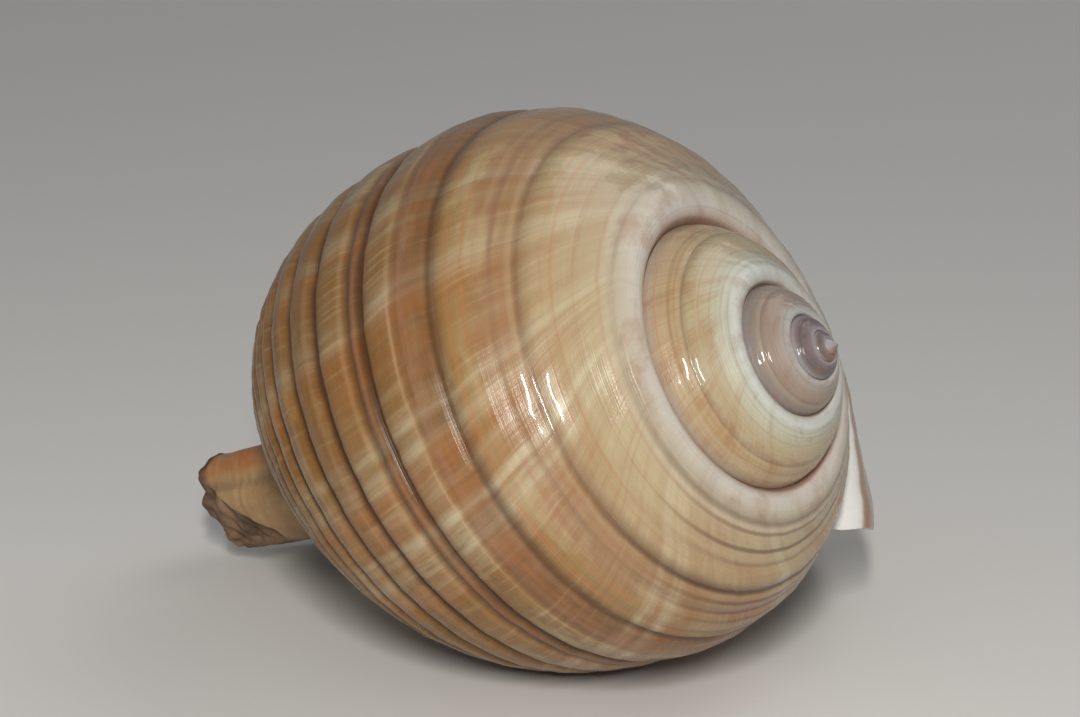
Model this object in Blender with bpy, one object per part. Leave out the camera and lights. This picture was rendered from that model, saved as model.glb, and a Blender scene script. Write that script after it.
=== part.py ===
"""A tun shell lying on its aperture, one solid.

The shell is a tube that winds round an axis and grows by the same factor in every turn. Its wall is the
sheet that one section line sweeps. The outside of the sheet shows in the spire and on the last whorl, and
goes on inside the aperture as the wall that the whorls share. The solid is built in millimetres in the
shell's own frame, with the apex at the origin, the axis along X with the apex at +X, and the back of the
shell towards +Z, then it is tilted until it lies on its belly, its outer lip and the end of its canal.
"""

import math

import bmesh
import bpy
import numpy as np

MM = 0.001

# Spiral: every turn is this much larger than the one before it.
GROWTH_PER_TURN = 2.052
SPIRE_TURNS = 4
APEX_RISE = 0.5

# Section line of a whorl at the back of the shell, as (radius, distance from the apex along the axis).
# It starts on the ramp beside the suture, rounds the shoulder and the belly, and ends at the neck.
SECTION = [
    (27.5, 20.9),
    (32.7, 20.8),
    (39.5, 25.6),
    (46.8, 30.2),
    (51.4, 37.4),
    (55.7, 47.6),
    (56.8, 62.3),
    (54.8, 80.2),
    (48.1, 97.6),
    (34.7, 112.3),
    (16.0, 125.5),
    (7.6, 131.0),
]
SECTION_START = 1.3
CHANNEL_GUESS = (-0.8, 1.1)
CHANNEL_PASSES = 30
SUTURE_AT = 40.5
SHARED_FROM = 44.5

# Spiral grooves, as the place along the section line and the depth. The ribs lie between them.
GROOVES = [
    (8.8, 0.35),
    (25.9, 0.4),
    (42.1, 0.6),
    (58.3, 0.8),
    (61.6, 0.45),
    (71.3, 0.9),
    (79.8, 0.9),
    (87.4, 0.9),
    (92.6, 0.8),
    (97.2, 0.8),
    (101.6, 0.8),
    (106.0, 0.8),
    (110.6, 0.7),
    (115.4, 0.7),
    (120.4, 0.6),
]
GROOVE_HALF_WIDTH = 1.5
GROOVE_STEEPNESS = 1.6
RIB_CROWN = 0.45
RELIEF_STARTS_OVER = 4.0

# Wall and lip.
WALL = 2.1
LIP_ANGLE = 147.0
LIP_LEAN = [(0.0, 0.0), (6.0, 3.0), (14.0, 10.0), (26.0, 18.0), (42.0, 25.0), (50.0, 28.0), (65.0, 30.0)]
LIP_LEAN += [(118.0, 30.0), (131.0, 36.0), (147.3, 50.0)]
LEVEL_UNTIL = 128.0
HELD_FROM = 60.0
HELD_OVER = 60.0
HELD_SOFTLY = 25.0
LIP_FLARE = 2.2
FLARE_REACH = 28.0
FLARE_STARTS_OVER = 8.0
FLARE_ENDS_OVER = 30.0
LEAN_REACH = 120.0
LUMEN_TURNS = 1.1
PILLAR_END = 134.0

# How the shell lies: the axis rises towards the apex, and the shell is rolled about it. The belly's lowest
# point and the margin of the lip lie between these angles about the axis.
AXIS_TILT = 25.74
AXIS_ROLL = 5.79
BELLY_BETWEEN = (-200.0, -120.0)
MARGIN_FROM = 40.0
HALVINGS = 40

# Neck and siphonal canal, as (distance from the apex, rise towards the back, radius of the neck).
NECK = [
    (84.0, 0.6, 3.4),
    (96.0, 3.0, 6.6),
    (110.0, 6.2, 9.0),
    (124.0, 8.3, 9.5),
    (132.0, 9.2, 9.3),
    (139.5, 10.2, 8.9),
]
NECK_RIDGE = 1.5
NECK_RIDGE_ANGLE = -12.0
NECK_RIDGE_WIDTH = 26.0
NECK_RIDGE_FROM = 104.0
NECK_RIDGE_OVER = 16.0
CANAL_RADIUS = 4.7
CANAL_FROM = 98.0
CANAL_TO = 149.0
CANAL_DEPTH = 20.0
CANAL_OPENS_AT = 140.0

# Facets: columns in a turn, and sides of the neck.
COLUMNS = 36
WIDE_RIB = 7.0
NARROW_RIB = 4.0
RAMP_ROW = 4.0
END_ROW = 9.0
CLOSE_ROWS = 0.8
INSIDE_EVERY = 3
SHARED_EVERY = 3
NECK_SIDES = 20
NECK_RINGS = 11
CANAL_RINGS = 9
CANAL_ARC_POINTS = 9
SHARP_EDGE = 40.0

STEP = 360.0 / COLUMNS


def smoothstep(x):
    """0 below 0, 1 above 1, and 3x² - 2x³ between them."""
    x = np.clip(x, 0.0, 1.0)
    return x * x * (3.0 - 2.0 * x)


class Curve:
    """A natural cubic spline through points, its parameter being the distance from point to point."""

    def __init__(self, points, start=0.0):
        self.points = np.array(points, dtype=float)
        lengths = np.linalg.norm(np.diff(self.points, axis=0), axis=1)
        self.at = start + np.concatenate([[0.0], np.cumsum(lengths)])
        count = len(self.points)
        matrix = np.eye(count)
        right = np.zeros_like(self.points)
        for i in range(1, count - 1):
            before, after = lengths[i - 1], lengths[i]
            matrix[i, i - 1 : i + 2] = before, 2.0 * (before + after), after
            slope_after = (self.points[i + 1] - self.points[i]) / after
            slope_before = (self.points[i] - self.points[i - 1]) / before
            right[i] = 6.0 * (slope_after - slope_before)
        self.bend = np.linalg.solve(matrix, right)

    def __call__(self, t):
        t = np.asarray(t, dtype=float)
        i = np.clip(np.searchsorted(self.at, t) - 1, 0, len(self.at) - 2)
        length = self.at[i + 1] - self.at[i]
        a = ((self.at[i + 1] - t) / length)[..., None]
        b = 1.0 - a
        squared = (length**2)[..., None] / 6.0
        curved = (a**3 - a) * self.bend[i] + (b**3 - b) * self.bend[i + 1]
        return a * self.points[i] + b * self.points[i + 1] + squared * curved


def section_with_channel():
    """The section line, led down into the channel of the suture until it meets the turn before it."""
    foot = np.array(SECTION[0]) + CHANNEL_GUESS
    for _ in range(CHANNEL_PASSES):
        drop = np.linalg.norm(np.array(SECTION[0]) - foot)
        curve = Curve([tuple(foot)] + SECTION, SECTION_START - drop)
        foot = curve(SUTURE_AT) / GROWTH_PER_TURN
    return curve


section = section_with_channel()
T_START = section.at[0]
T_END = section.at[-1]


def relief(t):
    """Height over the section line: a bell-shaped dip at each groove and a low crown on each rib."""
    t = np.asarray(t, dtype=float)
    height = np.zeros_like(t)
    for place, depth in GROOVES:
        height -= depth * np.exp(-(((t - place) / GROOVE_HALF_WIDTH) ** 2) * GROOVE_STEEPNESS)
    for (low, _), (high, depth) in zip(GROOVES[1:], GROOVES[2:]):
        across = np.clip((t - low) / (high - low), 0.0, 1.0)
        height += RIB_CROWN * depth * 4.0 * across * (1.0 - across)
    return height


def sweep(angle, t):
    """A point of the sheet: the section line turned about the axis and scaled by the growth so far.

    Past the back of the shell the anterior end stops moving along the axis, so the lip ends beside the canal.
    """
    angle = np.asarray(angle, dtype=float)
    radius, along = np.moveaxis(section(t), -1, 0)
    past = np.maximum(angle, 0.0)
    softened = past - HELD_SOFTLY * (1.0 - np.exp(-past / HELD_SOFTLY))
    held = smoothstep((t - HELD_FROM) / HELD_OVER) * softened
    around = np.radians(angle)
    radius = radius * GROWTH_PER_TURN ** (angle / 360.0)
    along = along * GROWTH_PER_TURN ** ((angle - held) / 360.0)
    return np.stack([-along, radius * np.sin(around), radius * np.cos(around)], -1)


def outward(angle, t):
    """Unit normals of the sheet, from the differences of the swept point both ways."""
    by_angle = sweep(angle + 0.2, t) - sweep(angle - 0.2, t)
    by_t = sweep(angle, t + 0.05) - sweep(angle, t - 0.05)
    normal = np.cross(by_angle, by_t)
    return normal / np.linalg.norm(normal, axis=-1, keepdims=True)


def lip_flare(angle, t, lip):
    """How far the last stretch before the lip turns outwards."""
    near = smoothstep((angle - lip + FLARE_REACH) / FLARE_REACH)
    ends = smoothstep(t / FLARE_STARTS_OVER) * smoothstep((T_END - t) / FLARE_ENDS_OVER)
    return LIP_FLARE * near**2 * ends


def sheet(angle, t, lip, inwards=0.0):
    """The outside of the sheet, or with inwards the face that lies so deep under it."""
    angle, t, lip = np.broadcast_arrays(angle, t, lip)
    scale = GROWTH_PER_TURN ** (angle / 360.0)
    share = 1.0 if inwards == 0.0 else 0.5
    fade = smoothstep((t - SECTION_START) / RELIEF_STARTS_OVER)
    height = share * fade * relief(t) * scale + lip_flare(angle, t, lip) - inwards
    return sweep(angle, t) + height[..., None] * outward(angle, t)


def pose(points):
    """The shell's own frame turned to lie as it does on the table: the axis tilted, then the shell rolled."""
    tilt, roll = math.radians(AXIS_TILT), math.radians(AXIS_ROLL)
    rows = np.array(
        [
            (math.cos(tilt), -math.sin(tilt) * math.sin(roll), -math.sin(tilt) * math.cos(roll)),
            (0.0, math.cos(roll), -math.sin(roll)),
            (math.sin(tilt), math.cos(tilt) * math.sin(roll), math.cos(tilt) * math.cos(roll)),
        ]
    )
    return points @ rows.T


def belly_height():
    """Height of the lowest point of the last whorl's left side, where the shell touches the table."""
    angle, t = np.meshgrid(np.arange(*BELLY_BETWEEN, STEP), ROWS[LAST_SPIRE_ROW:], indexing="ij")
    return pose(sheet(angle, t, LIP_ANGLE))[..., 2].min()


def section_rows():
    """Places of the grid's rows: each groove, each crest, and the flanks of the wide ribs."""
    rows = [T_START, SECTION_START, RAMP_ROW, SUTURE_AT, SHARED_FROM]
    for (place, _), (after, _) in zip(GROOVES, GROOVES[1:] + [(T_END, 0.0)]):
        rows.append(place)
        gap = after - place
        if gap > WIDE_RIB:
            rows += [place + GROOVE_HALF_WIDTH, 0.5 * (place + after), after - GROOVE_HALF_WIDTH]
        elif gap > NARROW_RIB:
            rows.append(0.5 * (place + after))
    rows = np.array(sorted(rows + [T_END - END_ROW, T_END]))
    near_suture = (np.abs(rows - SUTURE_AT) < CLOSE_ROWS) & (rows != SUTURE_AT)
    return rows[~near_suture]


ROWS = section_rows()
LAST_SPIRE_ROW = int(np.flatnonzero(ROWS == SUTURE_AT)[0])
WALL_ROW = int(np.flatnonzero(ROWS == SHARED_FROM)[0])
INSIDE = np.arange(2, len(ROWS) - 2, INSIDE_EVERY)
TABLE = belly_height()


def free_lip(t):
    """Angle of the lip where it hangs free, which leans back from the suture as the growth lines do."""
    places, leans = zip(*LIP_LEAN)
    return LIP_ANGLE - np.interp(t, places, leans)


def lip_line(t, inwards=0.0):
    """Angle of the lip's margin: free near the suture, and cut level with the table from there on."""
    free = free_lip(t)
    low, high = np.full_like(free, MARGIN_FROM), free.copy()

    def above(angle):
        return pose(sheet(angle, t, angle, inwards))[..., 2] > TABLE

    reaches = ~above(high) & (t < LEVEL_UNTIL)
    for _ in range(HALVINGS):
        middle = 0.5 * (low + high)
        up = above(middle)
        low, high = np.where(up, middle, low), np.where(up, high, middle)
    return np.where(reaches, low, free)


def leaned(columns, t, lip):
    """Angles of a grid: even columns, pulled to the lip's own line over the last part of the whorl."""
    reach = smoothstep((columns - LIP_ANGLE + LEAN_REACH) / LEAN_REACH)
    return columns[:, None] + (lip - LIP_ANGLE)[None, :] * reach[:, None]


class Skin:
    """Vertices and faces of one closed surface."""

    def __init__(self):
        self.points = []
        self.faces = []

    def add(self, points):
        """Adds an array of points and gives their numbers in the same layout."""
        flat = np.asarray(points).reshape(-1, 3)
        first = len(self.points)
        self.points += [tuple(point) for point in flat]
        return first + np.arange(len(flat)).reshape(np.shape(points)[:-1])

    def quads(self, grid):
        """Faces between the neighbours of a grid of numbers, whose rows turn left of its columns."""
        around = (grid[:-1, :-1], grid[1:, :-1], grid[1:, 1:], grid[:-1, 1:])
        for corners in zip(*(part.ravel() for part in around)):
            self.faces.append(tuple(int(corner) for corner in dict.fromkeys(corners)))

    def fan(self, loop, centre):
        """Triangles from each side of a loop to one point."""
        for a, b in zip(loop, np.roll(loop, -1)):
            self.faces.append((int(a), int(b), int(centre)))


def whorl_body():
    """The sheet as one closed surface: spire, last whorl, lip, lumen, the pillar's face and the deep end."""
    skin = Skin()
    rows = ROWS
    lip = lip_line(rows)
    start = LIP_ANGLE - 360.0
    spire_columns = start - 360.0 * SPIRE_TURNS + STEP * np.arange(COLUMNS * SPIRE_TURNS + 1)
    last_columns = start + STEP * np.arange(COLUMNS + 1)

    # Outside: the spire's rows end on the suture line, which is also the first row one turn later.
    spire_grid = np.full((len(spire_columns), LAST_SPIRE_ROW + 1), -1)
    top = skin.add(sheet(spire_columns[:, None], rows[None, 1 : LAST_SPIRE_ROW + 1], LIP_ANGLE))
    spire_grid[:, 1:] = top
    spire_grid[COLUMNS:, 0] = spire_grid[:-COLUMNS, -1]
    spire_grid[:COLUMNS, 0] = skin.add(sheet(spire_columns[:COLUMNS], rows[0], LIP_ANGLE))
    last_grid = np.full((COLUMNS + 1, len(rows)), -1)
    last_grid[0, : LAST_SPIRE_ROW + 1] = spire_grid[-1]
    last_grid[1:, 0] = spire_grid[-COLUMNS:, -1]
    angles = leaned(last_columns, rows, lip)
    last_grid[1:, 1:] = skin.add(sheet(angles, rows[None], lip[None])[1:, 1:])
    last_grid[0, LAST_SPIRE_ROW + 1 :] = skin.add(sheet(start, rows[LAST_SPIRE_ROW + 1 :], LIP_ANGLE))
    skin.quads(spire_grid)
    skin.quads(last_grid)

    # Apex: a fan over the first turn's inner edge.
    apex = int(skin.add(np.array([[APEX_RISE, 0.0, 0.0]]))[0])
    for one, other in zip(spire_grid[:COLUMNS, 0], spire_grid[1 : COLUMNS + 1, 0]):
        skin.faces.append((int(one), int(other), apex))
    skin.faces.append(tuple(int(number) for number in spire_grid[0, ::-1]) + (apex,))

    # Inside: the lumen's outer face, and the wall that it shares with the turn before it.
    turns = int(round(LUMEN_TURNS * COLUMNS))
    deep_columns = LIP_ANGLE - STEP * np.arange(turns + 1)
    inner_rows = rows[INSIDE]
    inner_lip = lip_line(inner_rows, WALL)
    inner_angles = leaned(deep_columns, inner_rows, inner_lip)
    inner = skin.add(sheet(inner_angles, inner_rows[None], inner_lip[None], WALL))
    kept = np.unique(np.append(np.arange(WALL_ROW, len(rows), SHARED_EVERY), len(rows) - 1))
    shared = np.full((turns + 1, len(kept)), -1)
    shared[0] = last_grid[0, kept]
    shared[1:] = skin.add(sheet(deep_columns[1:, None] - 360.0, rows[None, kept], LIP_ANGLE))
    skin.quads(inner)
    skin.quads(shared[1:, ::-1])
    for i, (low, high) in enumerate(zip(kept, kept[1:])):
        behind = [shared[1, i], shared[1, i + 1]]
        skin.faces.append(tuple(int(number) for number in behind + list(last_grid[0, low : high + 1][::-1])))
    skin.quads(np.stack([shared[:, 0], inner[:, 0]], 1))
    skin.quads(np.stack([inner[:, -1], shared[:, -1]], 1))
    loop = np.concatenate([inner[-1], shared[-1, ::-1]])
    middle = np.mean([skin.points[i] for i in loop], axis=0)
    skin.fan(loop, skin.add(middle[None])[0])

    # Lip: a strip from the outside to the inside, row by row.
    outer_edge, inner_edge = last_grid[-1], inner[0]
    for i, (low, high) in enumerate(zip(INSIDE, INSIDE[1:])):
        inside = [inner_edge[i + 1], inner_edge[i]]
        skin.faces.append(tuple(int(number) for number in list(outer_edge[low : high + 1]) + inside))
    skin.faces.append(tuple(int(number) for number in list(outer_edge[INSIDE[-1] :]) + [inner_edge[-1]]))
    corner = list(outer_edge[INSIDE[0] :: -1]) + list(last_grid[0, LAST_SPIRE_ROW + 1 : WALL_ROW + 1])
    skin.faces.append(tuple(int(number) for number in corner + [inner_edge[0]]))

    # Pillar: the end of the last whorl's sheet closed to the axis.
    end = np.concatenate([last_grid[:, -1], [inner_edge[-1]]])
    tip = skin.add(np.array([[-PILLAR_END, 0.0, 0.0]]))[0]
    skin.fan(end, tip)
    return skin


def neck_axis(along):
    """Rise of the neck's middle and its radius at a distance from the apex."""
    curve = Curve(NECK)
    t = np.interp(along, [point[0] for point in NECK], curve.at)
    return np.moveaxis(curve(t), -1, 0)[1:]


def neck_solid():
    """The neck: rings about a line that bends to the back, with a ridge wound on its upper side."""
    skin = Skin()
    along = np.linspace(NECK[0][0], NECK[-1][0], NECK_RINGS)
    around = np.radians(np.arange(NECK_SIDES) * 360.0 / NECK_SIDES - 180.0)
    rise, radius = neck_axis(along)
    shift = np.degrees(around) - NECK_RIDGE_ANGLE
    ridge = NECK_RIDGE * np.exp(-((shift / NECK_RIDGE_WIDTH) ** 2))
    rising = smoothstep((along - NECK_RIDGE_FROM) / NECK_RIDGE_OVER)
    girth = radius[:, None] + ridge[None] * rising[:, None]
    rings = np.stack(
        [
            np.broadcast_to(-along[:, None], girth.shape),
            girth * np.sin(around),
            girth * np.cos(around) + rise[:, None],
        ],
        -1,
    )
    grid = skin.add(rings)
    skin.quads(np.concatenate([grid, grid[:, :1]], 1))
    first = skin.add(np.array([[-along[0] + 1.0, 0.0, rise[0]]]))[0]
    last = skin.add(np.array([[-along[-1], 0.0, rise[-1]]]))[0]
    skin.fan(grid[0][::-1], first)
    skin.fan(grid[-1], last)
    return skin


def canal_cutter():
    """The canal's hollow: a round-backed trough that opens below, carried along the neck."""
    skin = Skin()
    along = np.linspace(CANAL_FROM, CANAL_TO, CANAL_RINGS)
    rise, _ = neck_axis(np.minimum(along, NECK[-1][0]))
    back = math.radians(CANAL_OPENS_AT + 180.0)
    arc = back + np.radians(np.linspace(-90.0, 90.0, CANAL_ARC_POINTS))
    across = np.stack([np.sin(arc), np.cos(arc)], -1) * CANAL_RADIUS
    opening = np.array([-math.sin(back), -math.cos(back)]) * CANAL_DEPTH
    outline = np.concatenate([across, across[-1:] + opening, across[:1] + opening])
    rings = np.stack(
        [
            np.broadcast_to(-along[:, None], (len(along), len(outline))),
            np.broadcast_to(outline[None, :, 0], (len(along), len(outline))),
            outline[None, :, 1] + rise[:, None],
        ],
        -1,
    )
    grid = skin.add(rings)
    skin.quads(np.concatenate([grid, grid[:, :1]], 1))
    skin.faces.append(tuple(int(i) for i in grid[0][::-1]))
    skin.faces.append(tuple(int(i) for i in grid[-1]))
    return skin


def shell_material():
    """Glossy shell, warm tan."""
    material = bpy.data.materials.new("glossy_shell")
    material.use_nodes = True
    surface = material.node_tree.nodes["Principled BSDF"]
    surface.inputs["Base Color"].default_value = (0.52, 0.32, 0.17, 1.0)
    surface.inputs["Roughness"].default_value = 0.3
    surface.inputs["Metallic"].default_value = 0.0
    return material


def solid(name, skin, offset):
    """A mesh object of one closed skin, posed, in metres and with its faces turned outwards."""
    mesh = bpy.data.meshes.new(name)
    mesh.from_pydata((pose(np.array(skin.points)) - offset) * MM, [], skin.faces)
    work = bmesh.new()
    work.from_mesh(mesh)
    bmesh.ops.recalc_face_normals(work, faces=work.faces)
    work.to_mesh(mesh)
    work.free()
    thing = bpy.data.objects.new(name, mesh)
    bpy.context.collection.objects.link(thing)
    return thing


def combine(target, tool, operation):
    """A Boolean modifier on target, whose tool stays as a hidden guide."""
    tool.hide_render = True
    tool.display_type = "WIRE"
    modifier = target.modifiers.new(tool.name, "BOOLEAN")
    modifier.operation = operation
    modifier.solver = "EXACT"
    modifier.object = tool


def build_shell():
    """The shell: whorls joined with the neck, less the canal, standing on the table at its box's middle."""
    body = whorl_body()
    neck = neck_solid()
    posed = pose(np.array(body.points + neck.points))
    low, high = posed.min(axis=0), posed.max(axis=0)
    middle = 0.5 * (low + high)
    offset = np.array([middle[0], middle[1], TABLE])
    shell = solid("shell", body, offset)
    combine(shell, solid("neck_form", neck, offset), "UNION")
    combine(shell, solid("canal_hollow", canal_cutter(), offset), "DIFFERENCE")
    shell.data.materials.append(shell_material())
    shell.data.shade_smooth()
    shell.data.set_sharp_from_angle(angle=math.radians(SHARP_EDGE))


for thing in list(bpy.data.objects):
    bpy.data.objects.remove(thing, do_unlink=True)
build_shell()
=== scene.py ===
"""The looks of a tun shell lying on its aperture: its ribbed whorls, its neck, a pale floor and soft light.

A point of the shell's sheet is found from two parameters: the angle turned about the axis, and t, the
distance along the section line of a whorl. Grooves, growth lines and colours are functions of the same two.

Lengths are in millimetres and angles in degrees. Only the finished meshes, the lights and the camera are in
metres.
"""

import math

import bmesh
import bpy
import numpy as np
from mathutils import Matrix


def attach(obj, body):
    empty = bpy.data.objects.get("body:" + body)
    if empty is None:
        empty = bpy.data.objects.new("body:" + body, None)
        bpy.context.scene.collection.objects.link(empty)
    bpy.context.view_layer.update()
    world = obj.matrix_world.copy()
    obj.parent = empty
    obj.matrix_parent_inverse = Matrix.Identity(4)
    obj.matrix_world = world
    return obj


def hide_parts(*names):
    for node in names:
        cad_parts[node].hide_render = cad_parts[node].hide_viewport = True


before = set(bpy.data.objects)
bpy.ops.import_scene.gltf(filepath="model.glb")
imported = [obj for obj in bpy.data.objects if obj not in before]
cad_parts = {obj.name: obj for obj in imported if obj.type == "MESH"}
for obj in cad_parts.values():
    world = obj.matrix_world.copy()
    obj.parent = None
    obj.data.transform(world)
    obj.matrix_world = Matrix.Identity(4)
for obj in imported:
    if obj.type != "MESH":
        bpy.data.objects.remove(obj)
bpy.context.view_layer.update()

MM = 0.001

# Spiral: every turn is this much larger than the one before it.
GROWTH_PER_TURN = 2.052
SPIRE_TURNS = 4
APEX_RISE = 0.5

# Section line of a whorl at the back of the shell, as (radius, distance from the apex along the axis).
SECTION = [
    (27.5, 20.9),
    (32.7, 20.8),
    (39.5, 25.6),
    (46.8, 30.2),
    (51.4, 37.4),
    (55.7, 47.6),
    (56.8, 62.3),
    (54.8, 80.2),
    (48.1, 97.6),
    (34.7, 112.3),
    (16.0, 125.5),
    (7.6, 131.0),
]
SECTION_START = 1.3
SUTURE_AT = 40.5
SHARED_FROM = 44.5
SHOULDER_END = 45.0

# The foot of the channel is looked for from this step off the section line's first point, in so many rounds.
FOOT_STEP = (-0.8, 1.1)
FOOT_ROUNDS = 30

# Spiral grooves, as the place along the section line, the depth, and how brown they are.
GROOVES = [
    (8.8, 0.3, 0.5),
    (25.9, 0.35, 0.9),
    (42.1, 0.55, 0.7),
    (58.3, 0.8, 0.9),
    (61.6, 0.45, 0.45),
    (71.3, 0.9, 1.0),
    (79.8, 0.9, 1.0),
    (87.4, 0.9, 1.0),
    (92.6, 0.8, 1.0),
    (97.2, 0.8, 1.0),
    (101.6, 0.8, 1.0),
    (106.0, 0.8, 1.0),
    (110.6, 0.7, 1.0),
    (115.4, 0.7, 0.9),
    (120.4, 0.6, 0.8),
]
GROOVE_HALF_WIDTH = 1.15

# Faint spiral lines, as the place and the depth.
FAINT_LINES = [(5.4, 0.1), (12.2, 0.12), (15.4, 0.15), (18.6, 0.2), (31.9, 0.3), (38.4, 0.25), (45.6, 0.2)]
FAINT_LINES += [(49.6, 0.1), (53.6, 0.1), (65.8, 0.1)]
FAINT_HALF_WIDTH = 1.4

# Where the shoulder's grooves and the faint lines start, how far that carries, and how strong they are:
# everywhere, and how much more at the start.
GROOVES_START, START_REACH = -130.0, 60.0
GROOVE_SHOWS, GROOVE_STARTS = 0.6, 1.1
LINE_SHOWS, LINE_STARTS = 0.6, 1.5

# The shoulder is this much flatter than the section line, about this place and over this half width.
FLATTER_BY, FLATTER_AT, FLATTER_WIDTH = 0.9, 26.5, 6.5

# Height of the ribs' crowns as a share of the groove's depth, and how far the ribs past the shoulder are
# sunk. The relief fades in over the first stretch of t, and the inside has this share of it.
RIB_CROWN = 0.9
RIB_SUNK = 0.56
SUNK_FROM, SUNK_OVER = 31.0, 14.0
SUNK_UNTIL, SUNK_FADE = 128.0, 10.0
RELIEF_FADE = 4.0
INNER_RELIEF = 0.5

# Growth swells, as (height, waves per radian, shift, shift for each millimetre of t).
SWELLS = [(0.06, 23.0, 0.0, 0.0), (0.05, 41.0, 1.0, 0.05), (0.03, 67.0, 2.0, 0.0)]

# Wall and lip.
WALL = 2.1
LIP_ANGLE = 147.0
LIP_LEAN = [(0.0, -4.5), (3.0, -2.5), (6.0, 2.5), (8.0, 4.8), (14.0, 10.0), (26.0, 18.0), (42.0, 25.0)]
LIP_LEAN += [(50.0, 28.0), (65.0, 30.0), (118.0, 30.0), (131.0, 36.0), (147.3, 50.0)]
LEVEL_UNTIL = 128.0
LEVEL_LOOKED_FROM = 40.0
HALVINGS = 40
HELD_FROM = 60.0
HELD_OVER = 60.0
HELD_SOFTLY = 25.0
LIP_FLARE = 2.2
FLARE_REACH = 28.0
FLARE_GROWS, FLARE_FADES = 8.0, 30.0
LEAN_REACH = 120.0
INSIDE_FROM = 4.0
LUMEN_TURNS = 1.1
PILLAR_END = 134.0

# Growth lines lean back from the suture, by this many degrees at these places along the section line.
GROWTH_LEAN = [(0, 0), (7, 3), (13.7, 12), (20.6, 21), (27.5, 27), (41, 34), (55, 38), (69, 41), (96, 44)]
GROWTH_LEAN += [(147, 50)]

# How the shell lies: the axis rises towards the apex, and the shell is rolled about it.
AXIS_TILT = 25.74
AXIS_ROLL = 5.79
PLACE = np.array([-66.992, 10.905, -61.692])

# Neck and siphonal canal, as (distance from the apex, rise towards the back, radius of the neck).
NECK = [
    (84.0, 0.6, 3.4),
    (96.0, 3.0, 6.6),
    (110.0, 6.2, 9.0),
    (124.0, 8.3, 9.5),
    (132.0, 9.2, 9.3),
    (139.5, 10.2, 8.9),
]
NECK_END = NECK[-1][0]

# Folds along the neck, as (height, angle, width), and where they rise.
NECK_FOLDS = [(1.3, -22.0, 20.0), (-0.7, -52.0, 10.0), (0.4, -75.0, 16.0)]
NECK_RIDGE_FROM = 104.0
NECK_RIDGE_OVER = 16.0

# Faint rings, as height, where they start and over what length. Each is shifted by a slower wave.
RINGS, RINGS_FROM, RINGS_OVER = 0.07, 112.0, 12.0

# Rough end: lumps and a wavy edge, as (height, waves round, shift), and how much the rim is rounded.
NECK_ROUGH_FROM = 133.0
NECK_LUMPS = [(0.35, 5.0, 0.8), (0.3, 11.0, 2.0), (0.2, 19.0, 0.0)]
NECK_EDGE_WAVES = [(0.6, 3.0, 1.0), (0.4, 7.0, 2.0)]
ROUNDED_BY, ROUNDED_OVER = 1.5, 2.6
HOLLOW_END = 1.2

# Broken part below: its edge, which slants from an angle on, its depth and knobs, as (height, waves per
# millimetre, waves round).
NECK_EDGE_AT = 134.8
NECK_EDGE_SLANT = 0.17
NECK_EDGE_FROM = -50.0
NECK_EDGE_OVER = 70.0
BROKEN_BY, BROKEN_OVER = 1.2, 1.8
BROKEN_KNOBS = [(0.35, 1.3, 4.0), (0.25, 2.3, -9.0)]

# The neck's growth lines lean by about this much, so its ridge and fold have these growth coordinates.
NECK_LEAN = 47.0
NECK_RIDGE_LOOK = 25.0
NECK_FOLD_LOOK = -6.0

# Canal.
CANAL_RADIUS = 4.7
CANAL_FROM = 98.0
CANAL_TO = 149.0
CANAL_DEPTH = 20.0
CANAL_OPENS_AT = 140.0
CANAL_T = 130.0

# Fineness of the grids, and the angle past which an edge is sharp.
SHARP_EDGE = 45.0
COLUMNS = 150
SPIRE_ROWS = 56
BODY_ROWS = 150
STEP = 360.0 / COLUMNS
NECK_RINGS = 120
NECK_SIDES = 128
CANAL_RINGS = 60

# Camera and lights, in metres and watts. A light is (name, place, size, power, colour).
CAMERA_AT = (0.2741, -0.3855, 0.1775)
CAMERA_LOOKS = (-0.5566, 0.7866, -0.2673)
CAMERA_LENS = 91.9
CAMERA_SENSOR = 36.0
LIGHTS = [
    ("main", (0.315, -0.438, 0.345), (0.045, 0.2), 2.8, (1.0, 0.98, 0.95)),
    ("left_fill", (-0.7, -0.6, 0.7), (0.9, 0.9), 0.3, (1.0, 0.98, 0.96)),
    ("back_fill", (0.6, 1.8, 2.155), (1.8, 1.8), 14.4, (0.98, 0.99, 1.0)),
]
LIGHTS_LOOK_AT = (0.0, 0.0, 0.045)
SKY_COLOUR = (0.97, 0.98, 1.0, 1.0)
SKY_STRENGTH = 0.2
FLOOR_SIZE = 6.0
FLOOR_COLOUR = (222, 220, 216)


def smoothstep(x):
    """0 below 0, 1 above 1, and 3x² - 2x³ between them."""
    x = np.clip(x, 0.0, 1.0)
    return x * x * (3.0 - 2.0 * x)


def bell(x, middle, width):
    """1 at the middle and falling off on both sides as exp(-(distance / width)²)."""
    return np.exp(-(((x - middle) / width) ** 2))


def ripples(around, table, start=0.0):
    """A sum of sines on top of start, from a table of (height, waves, shift)."""
    return sum((height * np.sin(waves * around + shift) for height, waves, shift in table), start)


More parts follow.
